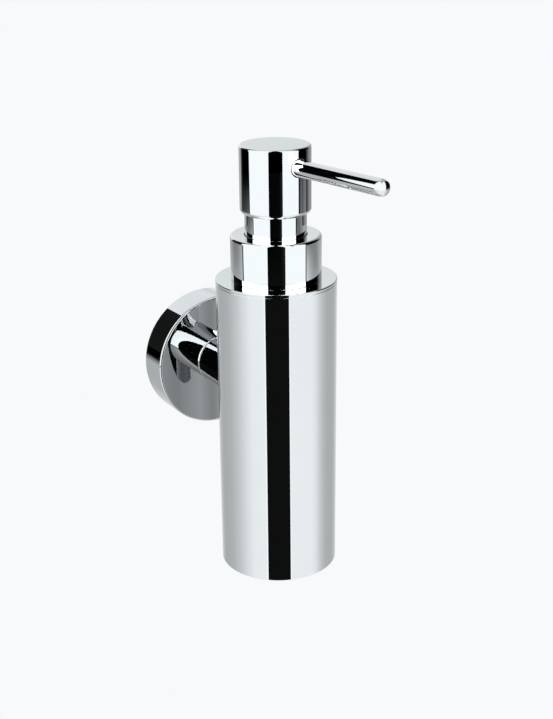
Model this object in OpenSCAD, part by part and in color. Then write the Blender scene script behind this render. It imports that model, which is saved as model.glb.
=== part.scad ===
// Wall mounted soap dispenser: a round rosette and arm carry a tubular container, and a hand
// pump with a swivelling nozzle head screws into the container's neck.
// The origin is the middle of the rosette on the wall plane. The wall is the XZ plane, +Z is up
// and the dispenser stands out along -Y. All lengths are in millimetres.

/* [Wall side] */
// Diameter of the rosette that covers the wall bracket
rosette_d = 60; // [58:0.5:64]
// Height of the rosette above the wall
rosette_h = 14.2; // [13.5:0.1:16]
// Diameter of the arm between the rosette and the container
arm_d = 21; // [18:0.5:23]
// Distance from the wall to the container's axis
reach = 64.3; // [62:0.1:75]
// Distance between the two wall screw holes
screw_spacing = 32; // [28:0.5:36]
// Diameter of each wall screw hole
screw_hole_d = 5.2; // [4.5:0.1:5.5]

/* [Container] */
// Outside diameter of the container
body_d = 50; // [48:0.5:54]
// Height of the container's tube
body_h = 126.5; // [115:0.5:150]
// Height of the tube's top edge above the arm's axis
body_above = 50.6; // [40:0.1:60]
// Wall thickness of the tube
body_wall = 1.4; // [1:0.1:1.8]
// Thickness of the disc on top of the tube
disc_t = 1.4; // [1.2:0.1:2]

/* [Collar] */
// Outside diameter of the collar
collar_d = 37.3; // [37:0.1:40]
// Height of the collar above the disc
collar_h = 18.3; // [17.5:0.1:20]

/* [Head] */
// Outside diameter of the pump head
head_d = 28.9; // [28.5:0.1:31]
// Height of the pump head without its skirt
head_h = 27.6; // [25:0.1:30]
// Outside diameter of the skirt that slides into the collar
skirt_d = 25.2; // [25:0.1:25.8]
// Clear height between the collar and the released head
head_gap = 9; // [8.9:0.1:11]
// Angle by which the nozzle is swivelled away from straight ahead
swivel = 8.4; // [-180:0.1:180]

/* [Nozzle] */
// Outside diameter of the nozzle tube
nozzle_d = 6.7; // [6:0.1:7.5]
// Distance from the container's axis to the nozzle's tip
nozzle_reach = 62.1; // [45:0.1:70]
// Depth of the nozzle's axis below the top of the head
nozzle_drop = 7.6; // [7:0.1:9]

/* [Pump] */
// Travel of the head when it is pressed
stroke = 8.5; // [6:0.5:8.5]
// Inside diameter of the pump barrel
barrel_bore_d = 14.4; // [14:0.1:15]
// Outside diameter of the hollow pump stem
stem_d = 8; // [7:0.1:8.2]
// Outside diameter of the dip tube
dip_tube_d = 6; // [5:0.1:6.5]
// Outside diameter of the return spring
spring_d = 12.6; // [11.5:0.1:13]
// Diameter of the spring's wire
spring_wire_d = 1; // [0.8:0.1:1.2]
// Number of turns in the spring
spring_turns = 9; // [6:1:10]

/* [Hidden] */
$fn = 96;

// Small distances that many pieces share
cut = 1;           // overshoot of a cutting tool
slip = 0.05;       // radial clearance of a piece that slides or turns in another
seat_gap = 0.1;    // radial clearance of a loose seat
edge = 0.3;        // broken edge of a turned piece
fine_edge = 0.2;   // the same where two pieces meet in a fine line
sliver = 0.01;     // overshoot of a recess that ends at a face

// Heights along the container's axis, from the top of the tube upwards
z_rim = body_above;
z_base = z_rim - body_h;
z_disc = z_rim + disc_t;
z_collar = z_disc + collar_h;
z_head = z_collar + head_gap;
z_top = z_head + head_h;
z_nozzle = z_top - nozzle_drop;
skirt_r = skirt_d / 2;
skirt_bore_r = skirt_r - 1;

// Wall side
rosette_wall = 2.5;
rosette_face = 2.6;
rosette_round = 1;
bracket_r = rosette_d / 2 - rosette_wall - 0.5;
bracket_t = 3;
bracket_rim_h = 10;
bracket_rim_w = 3.5;
countersink_r = 5;
countersink_from = 1;
grub_r = 2;
grub_from_wall = 5;
grub_sink = 0.5;
grub_point_h = 1.1;
grub_point_r = 0.6;
grub_socket = [2, 1.6];
arm_screw_r = 3;
arm_screw_depth = 0.4;
arm_screw_pitch = 0.8;
arm_screw_turns = 14;
arm_screw_head = [5, 4];
arm_screw_socket = [4, 2.4];
arm_thread_h = 13;
arm_edge = 0.5;
washer_r = 6;
washer_t = 1.2;
washer_split = 0.8;

// Container, neck and carrier
body_r = body_d / 2;
bore_r = body_r - body_wall;
base_t = 1.6;
base_recess = 0.8;
lip_h = 3;
disc_round = 0.5;
collar_r = collar_d / 2;
collar_wall = 1.3;
collar_top_t = 1.8;
collar_round = 1.2;
skirt_hole_r = skirt_r + 0.3;
bush_r = collar_r - 1.7;
thread_r = bush_r - 1.9;
thread_pitch = 2;
thread_depth = 0.6;
plug_turns = 5;
plug_neck = 0.6;
plug_wall = 2.6;
bush_h = 13;
bush_sink = 0.4;
gasket_t = 0.8;
z_bush = z_disc - bush_sink;
z_flange = z_bush + gasket_t;
well_r = skirt_r + 0.6;
carrier_wall = 1.2;
carrier_floor = 1.6;
carrier_rib_t = 1;
carrier_rib_count = 12;

// Pump insert, from its flange downwards
z_plate = z_flange - 0.8;
plate_t = 2;
z_barrel_flange = z_plate + gasket_t;
barrel_flange_t = 1;
z_guide = z_barrel_flange + barrel_flange_t;
guide_flange_t = 1.2;
guide_tower_h = 5.5;
guide_plug_h = 6;
guide_foot_wall = 3.2;
guide_top_wall = 2.2;
z_skirt = z_guide + guide_flange_t + stroke + 1.7;
flange_r = well_r - 0.6;
barrel_r = barrel_bore_d / 2;
barrel_wall = 1.3;
barrel_seat_r = barrel_r + barrel_wall + 0.2;
barrel_taper_h = 2.5;
barrel_taper_from = 1.5;
z_cage = 0;
cage_t = 1.6;
cage_hole_r = 1.7;
ball_r = 3;
seat_r = 2;
chamber_r = ball_r + 1.2;
chamber_h = 7;
seat_t = 2;
z_seat = z_cage - chamber_h;
z_socket = z_seat - seat_t;
socket_depth = 8;
socket_wall = 1.5;
dip_r = dip_tube_d / 2;
dip_wall = 0.9;
dip_foot_gap = 2;
ball_rest = sqrt(pow(ball_r, 2) - pow(seat_r, 2)) + 0.03;

// Stem, piston and spring at rest
stem_r = stem_d / 2;
stem_bore_r = stem_r - 1.6;
tip_r = 5.9;
tip_t = 2.5;
tip_pin_h = 2.5;
z_tip = 26;
z_piston = z_tip + tip_t + 0.5;
piston_h = 8;
port_r = 1.1;
z_stem_top = z_nozzle - 3.2;

// Head
head_r = head_d / 2;
head_round = head_r - skirt_r;
head_top_round = 1;
head_roof = 2;
z_core = z_head + 3;
core_boss_r = 6.4;
core_boss_h = 8;
nozzle_r = nozzle_d / 2;
nozzle_hole_r = nozzle_r + 0.3;
nozzle_bore_r = 1.6;
nozzle_root = 7.4;
nozzle_shoulder = [5.1, 28];   // radius of the arc at the tip's shoulder, and how far it turns
outlet_r = 1.3;
outlet_back = 4.6;
seal_t = 1;

chrome = "gainsboro";
steel = "silver";
brass = "goldenrod";
white_plastic = "whitesmoke";
rubber = "dimgray";

// Points of an arc about (x, y), from angle a to angle b
function arc(x, y, r, a, b, n = 6) =
    [for (i = [0:n]) let (t = a + (b - a) * i / n) [x + r * cos(t), y + r * sin(t)]];

// Outline of a thread: each pitch has one ridge, from a crest at radius r to a root below it
function thread_outline(r, depth, pitch, turns, z) =
    [for (i = [0:turns - 1], p = [[r - depth, 0], [r, 0.3], [r, 0.6], [r - depth, 0.9]])
        [p[0], z + (i + p[1]) * pitch]];

// Local +Z points straight out of the wall
module from_wall() rotate([90, 0, 0]) children();

module on_axis() translate([0, -reach, 0]) children();

// Local +X points along the nozzle
module along_nozzle() on_axis() translate([0, 0, z_nozzle]) rotate([0, 0, swivel - 90]) children();

module turned(points) rotate_extrude() polygon(points);

module ring(r_out, r_in, z_low, z_high) {
    translate([0, 0, z_low]) difference() {
        cylinder(r = r_out, h = z_high - z_low);
        translate([0, 0, -cut]) cylinder(r = r_in, h = z_high - z_low + 2 * cut);
    }
}

// A rod from z_low to z_high with broken edges at both ends
module rod(r, z_low, z_high, c = edge)
    turned([[0, z_low], [r - c, z_low], [r, z_low + c], [r, z_high - c], [r - c, z_high], [0, z_high]]);

module hex_socket(across_flats, depth) cylinder(d = across_flats / cos(30), h = depth, $fn = 6);

// ---------------------------------------------------------------- wall side

module wall_bracket() color(steel) from_wall() difference() {
    union() {
        cylinder(r = bracket_r, h = bracket_t);
        ring(bracket_r, bracket_r - bracket_rim_w, 0, bracket_rim_h);
    }
    for (side = [-1, 1]) translate([side * screw_spacing / 2, 0, 0]) {
        translate([0, 0, -cut]) cylinder(d = screw_hole_d, h = bracket_t + 2 * cut);
        translate([0, 0, countersink_from])
            cylinder(r1 = screw_hole_d / 2, r2 = countersink_r, h = bracket_t - countersink_from);
    }
    // dimple for the point of the grub screw
    translate([0, -bracket_r - sliver, grub_from_wall]) rotate([-90, 0, 0])
        cylinder(r1 = grub_r, r2 = grub_point_r, h = grub_point_h + 0.5);
}

module rosette() color(chrome) from_wall() difference() {
    turned(concat(
        [[0, 0], [rosette_d / 2, 0]],
        arc(rosette_d / 2 - rosette_round, rosette_h - rosette_round, rosette_round, 0, 90),
        [[0, rosette_h]]
    ));
    translate([0, 0, -cut])
        cylinder(r = rosette_d / 2 - rosette_wall, h = rosette_h - rosette_face + cut);
    translate([0, 0, -cut]) cylinder(r = arm_screw_r + fine_edge, h = rosette_h + 2 * cut);
    translate([0, -rosette_d / 2 - cut, grub_from_wall]) rotate([-90, 0, 0])
        cylinder(r = grub_r + slip, h = rosette_wall + 2 * cut);
}

module rosette_grub_screw() color(steel) from_wall() {
    low = rosette_d / 2 - grub_sink;
    shank = low - bracket_r;
    translate([0, -low, grub_from_wall]) rotate([-90, 0, 0]) difference() {
        turned([
            [0, 0], [grub_r - edge, 0], [grub_r, edge], [grub_r, shank],
            [grub_point_r, shank + grub_point_h], [0, shank + grub_point_h]
        ]);
        translate([0, 0, -sliver]) hex_socket(grub_socket[0], grub_socket[1]);
    }
}

module arm() color(chrome) difference() {
    from_wall() translate([0, 0, rosette_h]) rod(arm_d / 2, 0, reach - rosette_h - body_r / 2, arm_edge);
    on_axis() cylinder(r = body_r, h = 2 * arm_d, center = true, $fn = 180);
    from_wall() translate([0, 0, rosette_h - cut])
        cylinder(r = arm_screw_r + slip, h = arm_thread_h + cut);
}

module arm_screw() color(steel) from_wall() {
    head_z = rosette_h - rosette_face - washer_t;
    thread_z = rosette_h - arm_screw_pitch;
    turned(concat(
        [[0, head_z], [arm_screw_r, head_z], [arm_screw_r, thread_z - arm_screw_depth]],
        thread_outline(arm_screw_r, arm_screw_depth, arm_screw_pitch, arm_screw_turns, thread_z),
        [[0, thread_z + arm_screw_turns * arm_screw_pitch]]
    ));
    difference() {
        rod(arm_screw_head[0], head_z - arm_screw_head[1], head_z);
        translate([0, 0, head_z - arm_screw_head[1] - sliver])
            hex_socket(arm_screw_socket[0], arm_screw_socket[1]);
    }
}

module arm_washer() color(steel) from_wall() difference() {
    z = rosette_h - rosette_face;
    ring(washer_r, arm_screw_r + seat_gap, z - washer_t, z);
    translate([0, -washer_split / 2, z - washer_t - cut])
        cube([2 * washer_r, washer_split, washer_t + 2 * cut]);
}

// ---------------------------------------------------------------- container

module body_tube() color(chrome) on_axis() turned([
    [bore_r, z_base], [body_r - edge, z_base], [body_r, z_base + edge],
    [body_r, z_rim - fine_edge], [body_r - fine_edge, z_rim], [bore_r, z_rim]
]);

module base_disc() color(steel) on_axis()
    rod(bore_r - slip, z_base + base_recess, z_base + base_recess + base_t);

module top_disc() color(chrome) on_axis() difference() {
    turned(concat(
        [[0, z_rim - lip_h], [bore_r - edge, z_rim - lip_h], [bore_r - slip, z_rim - lip_h + edge],
         [bore_r - slip, z_rim], [body_r - edge, z_rim], [body_r, z_rim + fine_edge]],
        arc(body_r - disc_round, z_disc - disc_round, disc_round, 0, 90),
        [[0, z_disc]]
    ));
    translate([0, 0, z_rim - lip_h - cut]) cylinder(r = bush_r, h = lip_h + disc_t + 2 * cut);
}

module neck_bush() color(brass) on_axis() ring(bush_r, thread_r, z_bush - bush_h, z_bush);

// ---------------------------------------------------------------- collar

module collar_shell() color(chrome) on_axis() turned(concat(
    [[collar_r - collar_wall, z_disc + slip], [collar_r - fine_edge, z_disc + slip],
     [collar_r, z_disc + slip + fine_edge]],
    arc(collar_r - collar_round, z_collar - collar_round, collar_round, 0, 90),
    [[skirt_hole_r + fine_edge, z_collar], [skirt_hole_r, z_collar - fine_edge],
     [skirt_hole_r, z_collar - collar_top_t], [collar_r - collar_wall, z_collar - collar_top_t]]
));

module pump_carrier() color(white_plastic) on_axis() {
    sleeve_r = collar_r - collar_wall - seat_gap;
    sleeve_top = z_collar - collar_top_t - seat_gap;
    plug_r = thread_r - 2 * slip;
    plug_low = z_flange - plug_neck - plug_turns * thread_pitch;
    difference() {
        turned(concat(
            [[0, plug_low]],
            thread_outline(plug_r, thread_depth, thread_pitch, plug_turns, plug_low),
            [[plug_r - thread_depth, z_flange], [sleeve_r, z_flange], [sleeve_r, sleeve_top], [0, sleeve_top]]
        ));
        translate([0, 0, z_plate]) cylinder(r = well_r, h = collar_h + cut);
        translate([0, 0, plug_low - cut]) cylinder(r = barrel_seat_r, h = bush_h + 2 * cut);
        translate([0, 0, plug_low - cut])
            cylinder(r = plug_r - plug_wall, h = z_plate - plate_t - plug_low + cut);
        // channel between the inner and the outer wall, bridged by ribs
        difference() {
            ring(sleeve_r - carrier_wall, well_r + carrier_wall, z_flange + carrier_floor, z_collar);
            for (i = [0:carrier_rib_count - 1]) rotate([0, 0, i * 360 / carrier_rib_count])
                translate([well_r, -carrier_rib_t / 2, z_flange])
                    cube([sleeve_r - well_r, carrier_rib_t, collar_h]);
        }
    }
}

module carrier_gasket() color(rubber) on_axis()
    ring(bush_r - 0.1, thread_r - thread_depth, z_bush, z_flange);

// ---------------------------------------------------------------- pump

module pump_barrel() color(white_plastic) on_axis() {
    outer = barrel_r + barrel_wall;
    chamber_outer = chamber_r + barrel_wall;
    socket_outer = dip_r + socket_wall;
    turned([
        [barrel_r, z_cage], [barrel_r, z_guide], [flange_r, z_guide], [flange_r, z_barrel_flange],
        [outer, z_barrel_flange], [outer, z_cage - barrel_taper_from],
        [chamber_outer, z_cage - barrel_taper_from - barrel_taper_h],
        [chamber_outer, z_socket], [socket_outer, z_socket - 2 * edge],
        [socket_outer, z_socket - socket_depth], [dip_r + slip, z_socket - socket_depth],
        [dip_r + slip, z_socket], [seat_r, z_socket], [seat_r, z_seat],
        [chamber_r, z_seat], [chamber_r, z_cage]
    ]);
}

module barrel_gasket() color(rubber) on_axis()
    ring(flange_r, barrel_seat_r, z_plate, z_barrel_flange);

module guide_ring() color(white_plastic) on_axis() turned([
    [stem_r + seat_gap, z_guide - guide_plug_h], [barrel_r - slip - edge, z_guide - guide_plug_h],
    [barrel_r - slip, z_guide - guide_plug_h + edge], [barrel_r - slip, z_guide], [flange_r, z_guide],
    [flange_r, z_guide + guide_flange_t], [stem_r + guide_foot_wall, z_guide + guide_flange_t],
    [stem_r + guide_top_wall, z_guide + guide_tower_h], [stem_r + seat_gap, z_guide + guide_tower_h]
]);

module valve_cage() color(white_plastic) on_axis() difference() {
    rod(barrel_r - slip, z_cage, z_cage + cage_t, fine_edge);
    translate([0, 0, z_cage - cut]) cylinder(r = cage_hole_r, h = cage_t + 2 * cut);
    for (i = [0:3]) rotate([0, 0, 45 + i * 90])
        translate([2 * cage_hole_r, 0, z_cage - cut]) cylinder(r = cage_hole_r / 2, h = cage_t + 2 * cut);
}

module dip_tube() color(white_plastic) on_axis() ring(
    dip_r, dip_r - dip_wall,
    z_base + base_recess + base_t + dip_foot_gap, z_socket - seat_gap
);

module inlet_ball() color(steel) on_axis() translate([0, 0, z_seat + ball_rest]) sphere(r = ball_r);

// Height of the wire's centre after a share t of the turns: the end turns are closed
function coil_height(t, low, high, turns, wire) =
    let (dead = 1 / turns, rise = wire)
    t < dead ? low + rise * t / dead
    : t > 1 - dead ? high - rise * (1 - t) / dead
    : low + rise + (high - low - 2 * rise) * (t - dead) / (1 - 2 * dead);

module return_spring() color(steel) on_axis() {
    steps = 20 * spring_turns;
    sides = 8;
    wire = spring_wire_d / 2;
    coil_r = spring_d / 2 - wire;
    low = z_cage + cage_t + wire + slip;
    high = z_tip - wire - slip;
    points = [for (i = [0:steps], j = [0:sides - 1])
        let (
            turn = 360 * spring_turns * i / steps,
            around = 360 * j / sides,
            r = coil_r + wire * cos(around)
        )
        [r * cos(turn), r * sin(turn),
         coil_height(i / steps, low, high, spring_turns, 2 * wire) + wire * sin(around)]];
    walls = [for (i = [0:steps - 1], j = [0:sides - 1])
        let (k = (j + 1) % sides)
        [i * sides + j, (i + 1) * sides + j, (i + 1) * sides + k, i * sides + k]];
    ends = [[for (j = [0:sides - 1]) j], [for (j = [sides - 1:-1:0]) steps * sides + j]];
    polyhedron(points, concat(walls, ends), convexity = 10);
}

module piston() color(rubber) on_axis() {
    lip_r = barrel_r - slip;
    // half of the outline, from the foot to the waist; the other half mirrors it
    foot = [[stem_r + slip, 0], [lip_r - edge, 0], [lip_r, 0.5], [lip_r, 1.6], [lip_r - 1.1, 2.6]];
    turned([
        for (p = foot) [p[0], z_piston + p[1]],
        for (i = [len(foot) - 1:-1:0]) [foot[i][0], z_piston + piston_h - foot[i][1]]
    ]);
}

module pump_stem() color(white_plastic) on_axis() difference() {
    ring(stem_r, stem_bore_r, z_tip + tip_t, z_stem_top);
    translate([0, 0, z_piston + piston_h / 2]) rotate([0, 90, 0])
        cylinder(r = port_r, h = 4 * stem_r, center = true);
}

module stem_tip() color(white_plastic) on_axis() turned([
    [0, z_tip], [tip_r - edge, z_tip], [tip_r, z_tip + edge], [tip_r, z_tip + tip_t - edge],
    [tip_r - edge, z_tip + tip_t], [stem_bore_r - slip, z_tip + tip_t],
    [stem_bore_r - slip, z_tip + tip_t + tip_pin_h], [0, z_tip + tip_t + tip_pin_h]
]);

// ---------------------------------------------------------------- head

module head_shell() color(chrome) difference() {
    on_axis() turned(concat(
        [[skirt_bore_r, z_skirt], [skirt_r - fine_edge, z_skirt], [skirt_r, z_skirt + fine_edge],
         [skirt_r, z_head]],
        arc(head_r - head_round, z_head + head_round, head_round, -90, 0, 8),
        arc(head_r - head_top_round, z_top - head_top_round, head_top_round, 0, 90, 8),
        [[0, z_top], [0, z_top - head_roof], [skirt_bore_r, z_top - head_roof]]
    ));
    along_nozzle() rotate([0, 90, 0]) cylinder(r = nozzle_hole_r, h = head_d);
}

module head_core() color(white_plastic) difference() {
    on_axis() turned([
        [0, z_core - core_boss_h], [core_boss_r - edge, z_core - core_boss_h],
        [core_boss_r, z_core - core_boss_h + edge], [core_boss_r, z_core],
        [skirt_bore_r - seat_gap, z_core], [skirt_bore_r - seat_gap, z_top - head_roof - seat_gap],
        [0, z_top - head_roof - seat_gap]
    ]);
    on_axis() translate([0, 0, z_core - core_boss_h - cut])
        cylinder(r = stem_r + slip, h = z_stem_top - z_core + core_boss_h + cut);
    on_axis() translate([0, 0, z_stem_top - cut]) cylinder(r = stem_bore_r, h = z_nozzle - z_stem_top + cut);
    along_nozzle() rotate([0, 90, 0]) cylinder(r = nozzle_bore_r, h = head_d);
    along_nozzle() translate([nozzle_root - seal_t, 0, 0]) rotate([0, 90, 0])
        cylinder(r = nozzle_r + slip, h = head_d);
}

module nozzle_seal() color(rubber) along_nozzle() rotate([0, 90, 0])
    ring(nozzle_r - slip, nozzle_bore_r, nozzle_root - seal_t, nozzle_root);

module nozzle_tube() color(chrome) along_nozzle() difference() {
    bend_r = nozzle_shoulder[0];
    turn = nozzle_shoulder[1];
    // the shoulder narrows the tube to the rim of a domed end
    rim_r = nozzle_r - bend_r * (1 - cos(turn));
    dome_r = rim_r / sin(turn);
    shoulder_start = nozzle_reach - dome_r * (1 - cos(turn)) - bend_r * sin(turn);
    rotate([0, 90, 0]) turned(concat(
        [[0, nozzle_root], [nozzle_r - edge, nozzle_root], [nozzle_r, nozzle_root + edge]],
        arc(nozzle_r - bend_r, shoulder_start, bend_r, 0, turn),
        arc(0, nozzle_reach - dome_r, dome_r, 90 - turn, 90)
    ));
    translate([nozzle_root - cut, 0, 0]) rotate([0, 90, 0])
        cylinder(r = nozzle_bore_r, h = nozzle_reach - outlet_back - nozzle_root + cut + outlet_r);
    translate([nozzle_reach - outlet_back, 0, -nozzle_r - cut]) cylinder(r = outlet_r, h = nozzle_r + cut);
}

wall_bracket();
rosette();
rosette_grub_screw();
arm();
arm_screw();
arm_washer();
body_tube();
base_disc();
top_disc();
neck_bush();
pump_barrel();
barrel_gasket();
guide_ring();
valve_cage();
dip_tube();
collar_shell();
pump_carrier();
carrier_gasket();
inlet_ball();
return_spring();
piston();
pump_stem();
stem_tip();
head_shell();
head_core();
nozzle_tube();
nozzle_seal();
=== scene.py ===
"""Looks of the wall mounted soap dispenser: a chrome container on a wall rosette, with a hand pump.

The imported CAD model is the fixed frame. Lengths are metres, the wall is the XZ plane at Y = 0,
+Z is up and the dispenser stands out along -Y. Every chrome surface is a mirror, so the studio
around the dispenser is built with as much care as the surfaces themselves.
"""

import math

import bpy
import numpy as np
from mathutils import Matrix, Vector


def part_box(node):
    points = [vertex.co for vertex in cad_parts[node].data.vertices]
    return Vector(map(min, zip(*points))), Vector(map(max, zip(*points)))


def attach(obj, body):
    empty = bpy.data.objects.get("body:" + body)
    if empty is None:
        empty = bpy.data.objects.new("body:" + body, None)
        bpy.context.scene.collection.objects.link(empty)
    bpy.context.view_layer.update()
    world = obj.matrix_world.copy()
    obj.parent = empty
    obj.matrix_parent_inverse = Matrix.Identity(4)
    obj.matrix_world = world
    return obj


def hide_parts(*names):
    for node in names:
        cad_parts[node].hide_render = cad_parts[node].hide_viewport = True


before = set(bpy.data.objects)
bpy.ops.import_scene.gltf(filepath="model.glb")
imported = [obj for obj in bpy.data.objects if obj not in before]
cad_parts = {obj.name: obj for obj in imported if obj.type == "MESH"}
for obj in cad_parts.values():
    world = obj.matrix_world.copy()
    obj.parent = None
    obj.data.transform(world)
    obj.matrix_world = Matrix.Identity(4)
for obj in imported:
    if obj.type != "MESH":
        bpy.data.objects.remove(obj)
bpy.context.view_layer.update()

MM = 0.001
TUBE_LOW, TUBE_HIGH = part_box("body_tube")
AXIS = Vector(((TUBE_LOW.x + TUBE_HIGH.x) / 2, (TUBE_LOW.y + TUBE_HIGH.y) / 2, 0))

# ---------------------------------------------------------------- camera

CAMERA_AZIMUTH = -31.88     # degrees round the dispenser, 0 looks straight at the wall
CAMERA_ELEVATION = 20.8
CAMERA_ROLL = -0.59
CAMERA_DISTANCE = 533.5 * MM
CAMERA_AIM_UP = 15.7 * MM   # above the arm's axis
CAMERA_AIM_SIDE = -0.25 * MM
CAMERA_LENS = 63.56         # millimetres on a 36 mm sensor


def make_camera():
    azimuth, elevation, roll = map(math.radians, (CAMERA_AZIMUTH, CAMERA_ELEVATION, CAMERA_ROLL))
    back = Vector((
        math.sin(azimuth) * math.cos(elevation),
        -math.cos(azimuth) * math.cos(elevation),
        math.sin(elevation),
    ))
    level = Vector((math.cos(azimuth), math.sin(azimuth), 0))
    upright = back.cross(level)
    right = level * math.cos(roll) + upright * math.sin(roll)
    up = upright * math.cos(roll) - level * math.sin(roll)
    data = bpy.data.cameras.new("camera")
    data.lens = CAMERA_LENS
    data.sensor_width = 36
    data.clip_start = 0.01
    data.clip_end = 50
    camera = bpy.data.objects.new("camera", data)
    aim = AXIS + Vector((0, 0, CAMERA_AIM_UP)) + level * CAMERA_AIM_SIDE
    camera.matrix_world = Matrix.Translation(aim + back * CAMERA_DISTANCE) @ Matrix((
        (right.x, up.x, back.x, 0),
        (right.y, up.y, back.y, 0),
        (right.z, up.z, back.z, 0),
        (0, 0, 0, 1),
    ))
    bpy.context.scene.collection.objects.link(camera)
    bpy.context.scene.camera = camera


# ---------------------------------------------------------------- studio

PALE = (0.939, 0.956, 0.974)    # the floor and the sweep behind the dispenser
LIGHT_TINT = (0.955, 1.0, 1.012)
MIRROR = 0.556                  # share of light that chromium reflects
WHITE_LIMIT = 0.95              # a highlight clips here, as it does on film
FLOOR_HEIGHT = -0.33
FLOOR_HALF = 12
FLOOR_DROP = 0.01               # of the floor that the camera sees below the cards' floor
CARD_STEP = 0.5                 # degrees between two columns of a card

HUB = 0.03                      # radius at which the floor's cards start, under the dispenser
NEAR = 1.2                      # radius of the evenly lit floor, and of the rear wall
FAR = 1.95                      # radius at which the floor ends
OVERHEAD = 0.1                  # radius at which a card ends above the dispenser
BOX_RADIUS = 0.7
BOX_FOOT = -0.16
BOX_TOP = 1
BOX_ROOF = 1.2
CEILING = 1.45
BOX = 400                       # softboxes are brighter than the display can show
FRAME_LEFT = 5
FRAME_RIGHT = 20
CEILING_GREY = 165


def even(first, last, brightness):
    """Stops of a ring that glows evenly from one azimuth to another."""
    return ((first, brightness), (last, brightness))


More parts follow.
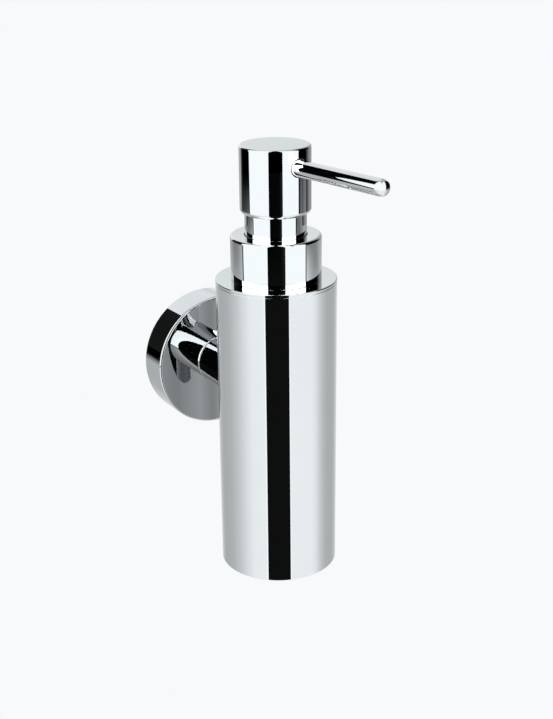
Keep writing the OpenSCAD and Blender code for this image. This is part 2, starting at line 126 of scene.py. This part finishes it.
# A card is a sector of one or more bands round the dispenser, from ring to ring. A ring is a
# radius, a height and stops of (azimuth, brightness), the brightness being that of the card's
# first reflection on a display.
NEAR_LEFT = (
    (97, 163), (112, 165), (126, 172), (134, 174), (156, 196), (172, 217), (188, 234),
    (214, 236), (215, 252), (217, 252),
)
NEAR_RIGHT = (
    (261, 252), (262, 252), (263, 236), (306, 235), (316, 226), (332, 191), (346, 172), (372, 165),
)
NEAR_REAR = ((12, 165), (48, 191), (72, 180), (97, 168))
WALL_FOOT = (
    (-8, 40), (12, 130), (84, 150), (92, 165), (97, 164), (100, 103), (108, 45), (112, 12),
)
WALL_RIGHT = ((5, 60), (13, 110), (18, 150), (45, 170))
CAMERA_SIDE = ((217, 4), (250, 7), (261, 37))
GAP_FAR = ((217, 5), (250, 7), (261, 37))
CARDS = {
    "softbox_left": (
        (BOX_RADIUS, BOX_FOOT, even(150, 217, BOX)),
        (BOX_RADIUS, 0.4, even(142, 217, BOX)),
        (BOX_RADIUS, BOX_TOP, even(136, 217, BOX)),
        (OVERHEAD, BOX_ROOF, even(136, 217, BOX)),
    ),
    "softbox_right": (
        (BOX_RADIUS, BOX_FOOT, even(261, 316, BOX)),
        (BOX_RADIUS, BOX_TOP, even(261, 316, BOX)),
        (OVERHEAD, BOX_ROOF, even(261, 316, BOX)),
    ),
    "frame_left": (
        (BOX_RADIUS, BOX_FOOT, even(146.5, 150, FRAME_LEFT)),
        (BOX_RADIUS, 0.4, even(138.5, 142, FRAME_LEFT)),
        (BOX_RADIUS, BOX_TOP, even(132.5, 136, FRAME_LEFT)),
    ),
    "frame_right": (
        (BOX_RADIUS, BOX_FOOT, even(316, 319, FRAME_RIGHT)),
        (BOX_RADIUS, BOX_TOP, even(316, 319, FRAME_RIGHT)),
    ),
    "floor_left": (
        (HUB, FLOOR_HEIGHT, NEAR_LEFT),
        (NEAR, FLOOR_HEIGHT, NEAR_LEFT),
        (1.34, FLOOR_HEIGHT, ((97, 148), (114, 134), (128, 141), (148, 183), (149, 60), (217, 60))),
        (1.5, FLOOR_HEIGHT, (
            (97, 140), (108, 115), (120, 116), (134, 137), (148, 175), (149, 60), (217, 60),
        )),
        (1.66, FLOOR_HEIGHT, (
            (97, 150), (104, 100), (112, 60), (128, 60), (148, 90), (149, 0), (217, 0),
        )),
        (1.85, FLOOR_HEIGHT, (
            (97, 130), (104, 60), (112, 12), (128, 16), (147, 24), (149, 0), (217, 0),
        )),
        (FAR, FLOOR_HEIGHT, ((97, 60), (104, 0), (217, 0))),
    ),
    "floor_right": (
        (HUB, FLOOR_HEIGHT, NEAR_RIGHT),
        (NEAR, FLOOR_HEIGHT, NEAR_RIGHT),
        (1.34, FLOOR_HEIGHT, (
            (261, 60), (316, 60), (318, 195), (337, 153), (349, 136), (362, 134), (372, 151),
        )),
        (1.5, FLOOR_HEIGHT, (
            (261, 60), (316, 60), (319, 150), (323, 98), (335, 97), (362, 136), (372, 154),
        )),
    ),
    "floor_right_far": (
        (1.5, FLOOR_HEIGHT, (
            (316, 60), (323, 60), (325, 116), (331, 116), (333, 65), (335, 112), (372, 170),
        )),
        (1.9, FLOOR_HEIGHT, (
            (316, 30), (323, 40), (325, 90), (331, 90), (333, 45), (335, 90), (372, 150),
        )),
        (FAR, FLOOR_HEIGHT, ((316, 0), (340, 0), (372, 90))),
    ),
    "floor_rear": (
        (HUB, FLOOR_HEIGHT, NEAR_REAR),
        (1.15, FLOOR_HEIGHT, NEAR_REAR),
        (1.5, FLOOR_HEIGHT, ((12, 154), (97, 140))),
        (FAR, FLOOR_HEIGHT, even(12, 97, 120)),
    ),
    "floor_gap": (
        (HUB, FLOOR_HEIGHT, even(217, 261, 15)),
        (1.15, FLOOR_HEIGHT, even(217, 261, 15)),
        (1.4, FLOOR_HEIGHT, GAP_FAR),
        (FAR, FLOOR_HEIGHT, GAP_FAR),
    ),
    "rear_wall_foot": (
        (NEAR, -0.24, WALL_FOOT),
        (NEAR, -0.03, WALL_FOOT),
    ),
    "rear_wall": (
        (NEAR, -0.03, ((5, 60), (13, 110), (18, 150), (45, 165), (54, 190), (97, 190), (101, 200))),
        (NEAR, 0.15, (*WALL_RIGHT, (54, 215), (84, 218), (101, 224))),
        (NEAR, 0.28, (*WALL_RIGHT, (52, 200), (64, 200), (74, 218), (102, 224))),
        (NEAR, 0.35, (*WALL_RIGHT, (52, 197), (64, 197), (74, 218), (102, 224))),
        (NEAR, 0.4, (*WALL_RIGHT, (52, 206), (64, 206), (74, 218), (102, 224))),
        (NEAR, 0.5, (*WALL_RIGHT, (54, 214), (84, 218), (102, 224))),
        (NEAR, 1.2, (*WALL_RIGHT, (54, 215), (84, 218), (104, 224))),
        (OVERHEAD, 1.4, ((5, 160), (104, 200))),
    ),
    "dark_left": (
        (1.7, -0.1, ((100, 30), (125, 22), (135, 8))),
        (1.7, 1.3, ((104, 24), (125, 12), (135, 4))),
    ),
    "ceiling_left": (
        (0.85, CEILING, even(97, 150, CEILING_GREY)),
        (OVERHEAD, CEILING, even(97, 150, CEILING_GREY)),
    ),
    "ceiling_right": (
        (0.85, CEILING, even(316, 372, CEILING_GREY)),
        (OVERHEAD, CEILING, even(316, 372, CEILING_GREY)),
    ),
    "camera_side": (
        (1.6, -0.2, CAMERA_SIDE),
        (1.6, 1, CAMERA_SIDE),
        (OVERHEAD, 1.6, CAMERA_SIDE),
    ),
}


def display_to_linear(value):
    """Linear light for a brightness from 0 to 255 on the display."""
    share = value / 255
    return share / 12.92 if share <= 0.04045 else ((share + 0.055) / 1.055) ** 2.4


def between(stops, azimuth):
    """Brightness at an azimuth, read off straight lines between the stops."""
    for (a, low), (b, high) in zip(stops, stops[1:]):
        if azimuth <= b:
            share = max(0, azimuth - a) / (b - a)
            return low + (high - low) * share
    return stops[-1][1]


def emission(name, colour, attribute=None):
    material = bpy.data.materials.new(name)
    material.use_nodes = True
    nodes, links = material.node_tree.nodes, material.node_tree.links
    nodes.clear()
    output = nodes.new("ShaderNodeOutputMaterial")
    light = nodes.new("ShaderNodeEmission")
    light.inputs["Color"].default_value = (*colour, 1)
    links.new(light.outputs["Emission"], output.inputs["Surface"])
    if attribute:
        glow = nodes.new("ShaderNodeAttribute")
        glow.attribute_name = attribute
        links.new(glow.outputs["Fac"], light.inputs["Strength"])
    return material


def card(name, rings, material):
    """Glowing bands round the dispenser's axis, which only reflections and light see."""
    widest = max(stops[-1][0] - stops[0][0] for _, _, stops in rings)
    columns = round(widest / CARD_STEP)
    rows = len(rings)
    points, glows = [], []
    for i in range(columns + 1):
        for radius, height, stops in rings:
            azimuth = stops[0][0] + (stops[-1][0] - stops[0][0]) * i / columns
            turn = math.radians(azimuth)
            points.append((radius * math.cos(turn), AXIS.y + radius * math.sin(turn), height))
            glows.append(display_to_linear(between(stops, azimuth)) / MIRROR)
    faces = [
        (i * rows + j, (i + 1) * rows + j, (i + 1) * rows + j + 1, i * rows + j + 1)
        for i in range(columns) for j in range(rows - 1)
    ]
    mesh = bpy.data.meshes.new(name)
    mesh.from_pydata(points, [], faces)
    mesh.attributes.new("glow", "FLOAT", "POINT").data.foreach_set("value", glows)
    mesh.materials.append(material)
    panel = bpy.data.objects.new(name, mesh)
    panel.visible_camera = False
    panel.visible_shadow = False
    bpy.context.scene.collection.objects.link(panel)


def make_studio():
    glow = emission("studio_glow", LIGHT_TINT, "glow")
    for name, rings in CARDS.items():
        card(name, rings, glow)
    make_floor()
    make_world()


def make_floor():
    """The floor that the camera sees: plain, pale and even."""
    mesh = bpy.data.meshes.new("floor")
    level = FLOOR_HEIGHT - FLOOR_DROP
    corners = [
        (x * FLOOR_HALF, y * FLOOR_HALF, level) for x, y in ((-1, -1), (1, -1), (1, 1), (-1, 1))
    ]
    mesh.from_pydata(corners, [], [(0, 1, 2, 3)])
    mesh.materials.append(emission("pale_floor", PALE))
    floor = bpy.data.objects.new("floor", mesh)
    floor.visible_glossy = False
    bpy.context.scene.collection.objects.link(floor)


def make_world():
    world = bpy.data.worlds.new("pale_room")
    world.use_nodes = True
    background = world.node_tree.nodes["Background"]
    background.inputs["Color"].default_value = (*PALE, 1)
    world.cycles_visibility.glossy = False
    bpy.context.scene.world = world
    bpy.context.scene.view_settings.view_transform = "Standard"
    bpy.context.scene.cycles.sample_clamp_direct = WHITE_LIMIT
    bpy.context.scene.cycles.sample_clamp_indirect = WHITE_LIMIT / MIRROR


# ---------------------------------------------------------------- materials

class Surface:
    """A Principled material under construction, with object coordinates for its detail."""

    def __init__(self, name, colour, metallic, roughness):
        self.material = bpy.data.materials.new(name)
        self.material.use_nodes = True
        self.nodes = self.material.node_tree.nodes
        self.links = self.material.node_tree.links
        self.shader = self.nodes["Principled BSDF"]
        self.shader.inputs["Base Color"].default_value = (*colour, 1)
        self.shader.inputs["Metallic"].default_value = metallic
        self.shader.inputs["Roughness"].default_value = roughness
        self.place = self.nodes.new("ShaderNodeTexCoord").outputs["Object"]

    def mapped(self, scale):
        """Object coordinates stretched by a factor along each axis."""
        mapping = self.nodes.new("ShaderNodeMapping")
        mapping.inputs["Scale"].default_value = scale
        self.links.new(self.place, mapping.inputs["Vector"])
        return mapping.outputs["Vector"]

    def noise(self, scale, detail=3, stretch=(1, 1, 1)):
        texture = self.nodes.new("ShaderNodeTexNoise")
        texture.inputs["Scale"].default_value = scale
        texture.inputs["Detail"].default_value = detail
        self.links.new(self.mapped(stretch), texture.inputs["Vector"])
        return texture.outputs["Fac"]

    def ranged(self, value, low, high, from_low=0.3, from_high=0.7):
        """A texture value spread over a new range."""
        node = self.nodes.new("ShaderNodeMapRange")
        node.inputs["From Min"].default_value = from_low
        node.inputs["From Max"].default_value = from_high
        node.inputs["To Min"].default_value = low
        node.inputs["To Max"].default_value = high
        self.links.new(value, node.inputs["Value"])
        return node.outputs["Result"]

    def added(self, first, second):
        node = self.nodes.new("ShaderNodeMath")
        node.operation = "ADD"
        self.links.new(first, node.inputs[0])
        self.links.new(second, node.inputs[1])
        return node.outputs["Value"]

    def tinted(self, value, dark, light):
        """Base colour between two colours."""
        ramp = self.nodes.new("ShaderNodeValToRGB")
        ramp.color_ramp.elements[0].position = 0.3
        ramp.color_ramp.elements[0].color = (*dark, 1)
        ramp.color_ramp.elements[1].position = 0.7
        ramp.color_ramp.elements[1].color = (*light, 1)
        self.links.new(value, ramp.inputs["Fac"])
        self.links.new(ramp.outputs["Color"], self.shader.inputs["Base Color"])

    def rough(self, value):
        self.links.new(value, self.shader.inputs["Roughness"])

    def bumped(self, value, depth, strength=1.0):
        bump = self.nodes.new("ShaderNodeBump")
        bump.inputs["Strength"].default_value = strength
        bump.inputs["Distance"].default_value = depth
        self.links.new(value, bump.inputs["Height"])
        self.links.new(bump.outputs["Normal"], self.shader.inputs["Normal"])


def chrome():
    """Mirror plating: faint cloudy variation and fine polishing haze that only show close up."""
    surface = Surface("mirror_chrome", (0.55, 0.556, 0.562), 1, 0.015)
    surface.tinted(surface.noise(60), (0.545, 0.551, 0.557), (0.555, 0.561, 0.567))
    cloud = surface.ranged(surface.noise(90, 4), 0.008, 0.02)
    haze = surface.ranged(surface.noise(2500, 2), 0, 0.008)
    surface.rough(surface.added(cloud, haze))
    return surface.material


def zinc_steel():
    """Zinc plated steel with a faint crystalline bloom."""
    surface = Surface("zinc_plated_steel", (0.62, 0.62, 0.6), 1, 0.35)
    surface.tinted(surface.noise(220, 5), (0.55, 0.56, 0.56), (0.7, 0.7, 0.67))
    surface.rough(surface.ranged(surface.noise(900, 4), 0.26, 0.44))
    surface.bumped(surface.noise(1500, 4), 0.02 * MM)
    return surface.material


def spring_steel():
    """Bright drawn wire and polished steel."""
    surface = Surface("bright_steel", (0.7, 0.7, 0.71), 1, 0.2)
    surface.tinted(surface.noise(400), (0.62, 0.62, 0.64), (0.75, 0.75, 0.76))
    surface.rough(surface.ranged(surface.noise(1200), 0.14, 0.28))
    return surface.material


def brass():
    """Turned brass with fine tool marks round the axis."""
    surface = Surface("turned_brass", (0.78, 0.62, 0.32), 1, 0.25)
    marks = surface.noise(40, 4, (1, 1, 120))
    surface.tinted(marks, (0.7, 0.53, 0.25), (0.82, 0.66, 0.37))
    surface.rough(surface.ranged(surface.noise(700), 0.2, 0.34))
    surface.bumped(marks, 0.015 * MM)
    return surface.material


def white_plastic():
    """Gloss moulded plastic with slight sink and flow marks."""
    surface = Surface("moulded_plastic", (0.86, 0.86, 0.84), 0, 0.32)
    surface.shader.inputs["Subsurface Weight"].default_value = 0.1
    surface.shader.inputs["Subsurface Scale"].default_value = 1.5 * MM
    surface.tinted(surface.noise(150), (0.83, 0.83, 0.81), (0.88, 0.88, 0.87))
    surface.rough(surface.ranged(surface.noise(500), 0.26, 0.4))
    surface.bumped(surface.noise(300, 4), 0.02 * MM)
    return surface.material


def clear_tube():
    """Milky extruded polyethylene with draw lines along the tube."""
    surface = Surface("milky_tube", (0.85, 0.87, 0.87), 0, 0.38)
    surface.shader.inputs["Transmission Weight"].default_value = 0.35
    surface.shader.inputs["IOR"].default_value = 1.5
    lines = surface.noise(1500, 3, (1, 1, 0.02))
    surface.tinted(lines, (0.8, 0.83, 0.83), (0.88, 0.9, 0.9))
    surface.rough(surface.ranged(surface.noise(400), 0.3, 0.46))
    surface.bumped(lines, 0.02 * MM)
    return surface.material


def seal_plastic():
    """Soft moulded plastic."""
    surface = Surface("soft_plastic", (0.8, 0.82, 0.84), 0, 0.45)
    surface.tinted(surface.noise(250), (0.76, 0.78, 0.8), (0.83, 0.85, 0.87))
    surface.rough(surface.ranged(surface.noise(600), 0.38, 0.52))
    surface.bumped(surface.noise(800), 0.01 * MM)
    return surface.material


def rubber():
    """Matt black rubber with a fine moulded grain."""
    surface = Surface("matt_rubber", (0.03, 0.03, 0.03), 0, 0.75)
    surface.tinted(surface.noise(300), (0.022, 0.022, 0.022), (0.045, 0.045, 0.045))
    surface.rough(surface.ranged(surface.noise(900), 0.65, 0.85))
    surface.bumped(surface.noise(2500), 0.02 * MM)
    return surface.material


FINISHES = {
    "chrome": chrome,
    "zinc_steel": zinc_steel,
    "spring_steel": spring_steel,
    "brass": brass,
    "white_plastic": white_plastic,
    "clear_tube": clear_tube,
    "seal_plastic": seal_plastic,
    "rubber": rubber,
}
MATERIALS = {slot: make() for slot, make in FINISHES.items()}


# ---------------------------------------------------------------- turned shapes

FILLET_STEPS = 12               # facets in a quarter turn of a rounded corner
SPIN_STEPS = 192
FIT = 0.01 * MM                 # how far a facet's corner may lie off the true surface


class Turning:
    """A closed outline of (radius, height, rounding) corners, spun about an axis.

    The outline runs anticlockwise with the radius to the right and the height up. Each point of
    the rounded outline keeps the outward normals of the stretches before and after it.
    """

    def __init__(self, origin, axis, corners):
        self.origin = Vector(origin)
        self.axis = Vector(axis).normalized()
        self.across = Vector((0, 0, 1)) if abs(self.axis.z) < 0.5 else Vector((1, 0, 0))
        self.points = []
        places = [Vector(corner[:2]) for corner in corners]
        for i, corner in enumerate(corners):
            before = (places[i] - places[i - 1]).normalized()
            after = (places[(i + 1) % len(places)] - places[i]).normalized()
            self.add_corner(places[i], before, after, corner[2] if len(corner) > 2 else 0)

    def add_corner(self, place, before, after, rounding):
        first = Vector((before.y, -before.x))
        last = Vector((after.y, -after.x))
        if not rounding:
            self.points.append((place, first, last))
            return
        turn = math.atan2(before.cross(after), before.dot(after))
        outward = math.copysign(rounding, turn)
        centre = place - before * rounding * math.tan(abs(turn) / 2) - first * outward
        steps = max(2, round(abs(turn) / math.radians(90) * FILLET_STEPS))
        for k in range(steps + 1):
            angle = turn * k / steps
            normal = Matrix.Rotation(angle, 2) @ first
            self.points.append((centre + normal * outward, normal, normal))

    def solid(self, name, steps=SPIN_STEPS):
        """The spun outline as a mesh object."""
        side = self.axis.cross(self.across)
        vertices, rings = [], []
        for place, _, _ in self.points:
            count = steps if place.x > FIT else 1
            rings.append([len(vertices) + k for k in range(count)])
            for k in range(count):
                turn = 2 * math.pi * k / steps
                out = self.across * math.cos(turn) + side * math.sin(turn)
                vertices.append(self.origin + self.axis * place.y + out * place.x)
        faces = []
        for i, low in enumerate(rings):
            high = rings[(i + 1) % len(rings)]
            for k in range(steps if len(low) + len(high) > 2 else 0):
                corners = (low[k % len(low)], low[(k + 1) % len(low)],
                           high[(k + 1) % len(high)], high[k % len(high)])
                faces.append(tuple(dict.fromkeys(corners)))
        mesh = bpy.data.meshes.new(name)
        mesh.from_pydata(vertices, [], faces)
        piece = bpy.data.objects.new(name, mesh)
        bpy.context.scene.collection.objects.link(piece)
        return piece

    def normals(self, places, flat):
        """True normals of this surface at some points, and how badly each point fits it."""
        axis = np.array(self.axis)
        offset = places - np.array(self.origin)
        height = offset @ axis
        radial = offset - height[:, None] * axis
        radius = np.linalg.norm(radial, axis=1)
        flat_radial = flat - (flat @ axis)[:, None] * axis
        safe = np.where(radius > FIT, radius, 1)[:, None]
        out = np.where(radius[:, None] > FIT, radial / safe, flat_radial)
        here = np.stack([radius, height], 1)
        facing = np.stack([(flat * out).sum(1), flat @ axis], 1)
        best = np.full(len(places), np.inf)
        found = np.zeros((len(places), 2))
        for i, (start, _, first) in enumerate(self.points):
            end, last, _ = self.points[(i + 1) % len(self.points)]
            start, end, first, last = (np.array(v) for v in (start, end, first, last))
            along = end - start
            if not along.any():
                continue
            share = np.clip((here - start) @ along / (along @ along), 0, 1)[:, None]
            normal = first + (last - first) * share
            normal /= np.linalg.norm(normal, axis=1)[:, None]
            miss = np.linalg.norm(here - start - share * along, axis=1) / FIT
            miss += 1 - (normal * facing).sum(1)
            better = miss < best
            best[better] = miss[better]
            found[better] = normal[better]
        return out * found[:, :1] + found[:, 1:] * axis, best


def cut_away(piece, cutters):
    """Cuts holes, which are turnings too, out of a piece."""
    for i, cutter in enumerate(cutters):
        tool = cutter.solid(f"{piece.name}_cutter_{i}")
        modifier = piece.modifiers.new("hole", "BOOLEAN")
        modifier.operation = "DIFFERENCE"
        modifier.solver = "EXACT"
        modifier.object = tool
        bpy.context.view_layer.update()
        depsgraph = bpy.context.evaluated_depsgraph_get()
        mesh = bpy.data.meshes.new_from_object(piece.evaluated_get(depsgraph))
        piece.modifiers.clear()
        piece.data = mesh
        bpy.data.objects.remove(tool)


def polish(mesh, turnings):
    """Gives each face corner the true normal of the turned surface that its face belongs to."""
    counts = np.array([len(polygon.vertices) for polygon in mesh.polygons])
    owner = np.repeat(np.arange(len(counts)), counts)
    index = np.array([loop.vertex_index for loop in mesh.loops])
    places = np.array([vertex.co for vertex in mesh.vertices])[index]
    flat = np.array([polygon.normal for polygon in mesh.polygons])[owner]
    best = np.full(len(counts), np.inf)
    chosen = np.zeros_like(places)
    for turning in turnings:
        normals, miss = turning.normals(places, flat)
        total = np.bincount(owner, miss) / counts
        better = total < best
        best[better] = total[better]
        chosen[better[owner]] = normals[better[owner]]
    mesh.shade_smooth()
    mesh.normals_split_custom_set(chosen.tolist())


def turned_piece(name, node, body, turning, cutters=(), slot="chrome"):
    """A finely turned piece, which stands for a CAD node if one is given."""
    piece = turning.solid(name)
    cut_away(piece, cutters)
    polish(piece.data, [turning, *cutters])
    piece.data.materials.append(MATERIALS[slot])
    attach(piece, body)
    if node:
        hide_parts(node)
    return piece


# ---------------------------------------------------------------- chrome pieces

UP = (0, 0, 1)
FROM_WALL = (0, -1, 0)
OVERSHOOT = 1 * MM              # of a cutter beyond the surface that it cuts
CRISP = 0.12 * MM               # rounding of an edge that looks sharp

ROSETTE_WALL = 2.5 * MM
ROSETTE_FACE = 2.6 * MM
ROSETTE_ROUND = 1 * MM
ROSETTE_HOLE_RADIUS = 3.2 * MM
GRUB_HOLE_RADIUS = 2.05 * MM
ARM_SCREW_HOLE_RADIUS = 3.05 * MM
ARM_SCREW_HOLE_DEPTH = 13 * MM
ARM_ROUND = 0.8 * MM
TUBE_WALL = 1.4 * MM
TUBE_ROUND = 0.14 * MM
LID_ROUND = 0.4 * MM
LID_LIP = 3 * MM
COLLAR_WALL = 1.3 * MM
COLLAR_ROOF = 1.8 * MM
COLLAR_ROUND = 1.2 * MM
SKIRT_RADIUS = 12.6 * MM
SKIRT_WALL = 1 * MM
SKIRT_CLEARANCE = 0.3 * MM
HEAD_GAP = 9 * MM
HEAD_ROUND = 1 * MM
HEAD_ROOF = 2 * MM
SWIVEL = 8.4                    # degrees from straight ahead to the nozzle
NOZZLE_CLEARANCE = 0.5 * MM
NOZZLE_GAP_SINK = 0.6 * MM      # of the black ring that paints the gap's shade, below the head's side
NOZZLE_ROOT = 7.4 * MM
NOZZLE_REACH = 62.1 * MM
NOZZLE_BORE_RADIUS = 1.6 * MM
NOZZLE_SHOULDER = 5.1 * MM
NOZZLE_SHOULDER_TURN = 28       # degrees
OUTLET_RADIUS = 1.3 * MM
OUTLET_BACK = 4.6 * MM


def upright(node):
    """Outer radius, foot and top of a CAD node that stands about the dispenser's axis."""
    low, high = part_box(node)
    return (high.x - low.x) / 2, low.z, high.z


def make_rosette():
    low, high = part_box("rosette")
    radius, depth = high.x, -low.y
    grub_low, grub_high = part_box("rosette_grub_screw")
    grub_from_wall = (grub_low.y + grub_high.y) / 2
    shell = Turning((0, 0, 0), FROM_WALL, (
        (radius - ROSETTE_WALL, 0, CRISP), (radius, 0, CRISP), (radius, depth, ROSETTE_ROUND),
        (ROSETTE_HOLE_RADIUS, depth), (ROSETTE_HOLE_RADIUS, depth - ROSETTE_FACE),
        (radius - ROSETTE_WALL, depth - ROSETTE_FACE),
    ))
    grub_hole = Turning((0, grub_from_wall, -radius - OVERSHOOT), UP, (
        (0, 0), (GRUB_HOLE_RADIUS, 0), (GRUB_HOLE_RADIUS, ROSETTE_WALL + 2 * OVERSHOOT),
        (0, ROSETTE_WALL + 2 * OVERSHOOT),
    ))
    turned_piece("rosette_shell", "rosette", "holder", shell, [grub_hole])


def make_arm():
    """A bar with a rounded edge against the rosette and a saddle against the container."""
    low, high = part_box("arm")
    tube_radius, _, _ = upright("body_tube")
    radius, start = high.x, -high.y
    end = -AXIS.y - tube_radius / 2
    bar = Turning((0, 0, 0), FROM_WALL, (
        (0, start), (radius, start, ARM_ROUND), (radius, end), (0, end),
    ))
    saddle = Turning((AXIS.x, AXIS.y, -2 * radius), UP, (
        (0, 0), (tube_radius, 0), (tube_radius, 4 * radius), (0, 4 * radius),
    ))
    screw_hole = Turning((0, -start + OVERSHOOT, 0), FROM_WALL, (
        (0, 0), (ARM_SCREW_HOLE_RADIUS, 0),
        (ARM_SCREW_HOLE_RADIUS, ARM_SCREW_HOLE_DEPTH + OVERSHOOT), (0, ARM_SCREW_HOLE_DEPTH + OVERSHOOT),
    ))
    turned_piece("arm_bar", "arm", "holder", bar, [saddle, screw_hole])


def make_container():
    radius, foot, rim = upright("body_tube")
    inside = radius - TUBE_WALL
    tube = Turning(AXIS, UP, (
        (inside, foot, CRISP), (radius, foot, TUBE_ROUND), (radius, rim, TUBE_ROUND), (inside, rim),
    ))
    turned_piece("container_tube", "body_tube", "holder", tube)
    _, _, top = upright("top_disc")
    neck, _, _ = upright("neck_bush")
    lid = Turning(AXIS, UP, (
        (neck, rim - LID_LIP), (inside, rim - LID_LIP, CRISP), (inside, rim),
        (radius, rim, TUBE_ROUND), (radius, top, LID_ROUND), (neck, top),
    ))
    turned_piece("container_lid", "top_disc", "holder", lid)


def make_collar():
    radius, foot, top = upright("collar_shell")
    hole = SKIRT_RADIUS + SKIRT_CLEARANCE
    cap = Turning(AXIS, UP, (
        (radius - COLLAR_WALL, foot), (radius, foot, CRISP), (radius, top, COLLAR_ROUND),
        (hole, top, CRISP), (hole, top - COLLAR_ROOF), (radius - COLLAR_WALL, top - COLLAR_ROOF),
    ))
    turned_piece("collar_cap", "collar_shell", "collar", cap)


def make_head():
    radius, skirt_foot, top = upright("head_shell")
    _, _, collar_top = upright("collar_shell")
    foot = collar_top + HEAD_GAP
    inside = SKIRT_RADIUS - SKIRT_WALL
    cap = Turning(AXIS, UP, (
        (inside, skirt_foot), (SKIRT_RADIUS, skirt_foot, CRISP), (SKIRT_RADIUS, foot),
        (radius, foot, radius - SKIRT_RADIUS - FIT), (radius, top, HEAD_ROUND),
        (0, top), (0, top - HEAD_ROOF), (inside, top - HEAD_ROOF),
    ))
    nozzle_radius, level = nozzle_size()
    hole_radius = nozzle_radius + NOZZLE_CLEARANCE
    hole = Turning(level, along_nozzle(), (
        (0, 0), (hole_radius, 0), (hole_radius, 2 * radius), (0, 2 * radius),
    ))
    turned_piece("head_cap", "head_shell", "head", cap, [hole])


def make_nozzle_gap():
    """A matt black ring that paints shade on the floor of the gap between the nozzle and its hole in the
    head.
    """
    head_radius, _, _ = upright("head_shell")
    nozzle_radius, level = nozzle_size()
    inner = nozzle_radius + FIT
    outer = nozzle_radius + NOZZLE_CLEARANCE - FIT
    back = SKIRT_RADIUS - SKIRT_WALL
    front = math.sqrt(head_radius ** 2 - outer ** 2) - NOZZLE_GAP_SINK
    ring = Turning(level, along_nozzle(), (
        (inner, back), (outer, back), (outer, front), (inner, front),
    ))
    # painted shade: the black rubber finish darkens the gap as its shade would
    turned_piece("nozzle_gap_shade", None, "head", ring, slot="rubber")


def nozzle_size():
    """The nozzle's radius, and the point on the dispenser's axis at the nozzle's height."""
    low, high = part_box("nozzle_tube")
    return (high.z - low.z) / 2, Vector((AXIS.x, AXIS.y, (low.z + high.z) / 2))


def along_nozzle():
    turn = math.radians(SWIVEL - 90)
    return Vector((math.cos(turn), math.sin(turn), 0))


def make_nozzle():
    """A tube whose shoulder narrows it to the rim of a domed end, with its outlet underneath."""
    radius, level = nozzle_size()
    turn = math.radians(NOZZLE_SHOULDER_TURN)
    rim = radius - NOZZLE_SHOULDER * (1 - math.cos(turn))
    dome = rim / math.sin(turn)
    rim_height = NOZZLE_REACH - dome * (1 - math.cos(turn))
    shoulder_corner = rim_height - NOZZLE_SHOULDER * (math.sin(turn) - math.tan(turn / 2))
    tube = Turning(level, along_nozzle(), (
        (0, NOZZLE_ROOT), (radius, NOZZLE_ROOT, CRISP),
        (radius, shoulder_corner, NOZZLE_SHOULDER - FIT), (rim, rim_height),
        (dome * math.tan(turn / 2), NOZZLE_REACH, dome - FIT), (0, NOZZLE_REACH),
    ))
    bore_end = NOZZLE_REACH - OUTLET_BACK + OUTLET_RADIUS
    bore = Turning(level, along_nozzle(), (
        (0, 0), (NOZZLE_BORE_RADIUS, 0), (NOZZLE_BORE_RADIUS, bore_end), (0, bore_end),
    ))
    outlet_place = level + along_nozzle() * (NOZZLE_REACH - OUTLET_BACK)
    outlet_foot = outlet_place - Vector((0, 0, radius + OVERSHOOT))
    outlet = Turning(outlet_foot, UP, (
        (0, 0), (OUTLET_RADIUS, 0), (OUTLET_RADIUS, radius + OVERSHOOT), (0, radius + OVERSHOOT),
    ))
    turned_piece("nozzle_spout", "nozzle_tube", "head", tube, [bore, outlet])


def make_chrome_pieces():
    make_rosette()
    make_arm()
    make_container()
    make_collar()
    make_head()
    make_nozzle_gap()
    make_nozzle()


# ---------------------------------------------------------------- whole object

def finish_nodes():
    """Gives every CAD node the finish of its slot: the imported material's name is the slot's name."""
    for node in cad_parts.values():
        for place in node.material_slots:
            place.material = MATERIALS[place.material.name]


make_camera()
make_studio()
finish_nodes()
make_chrome_pieces()
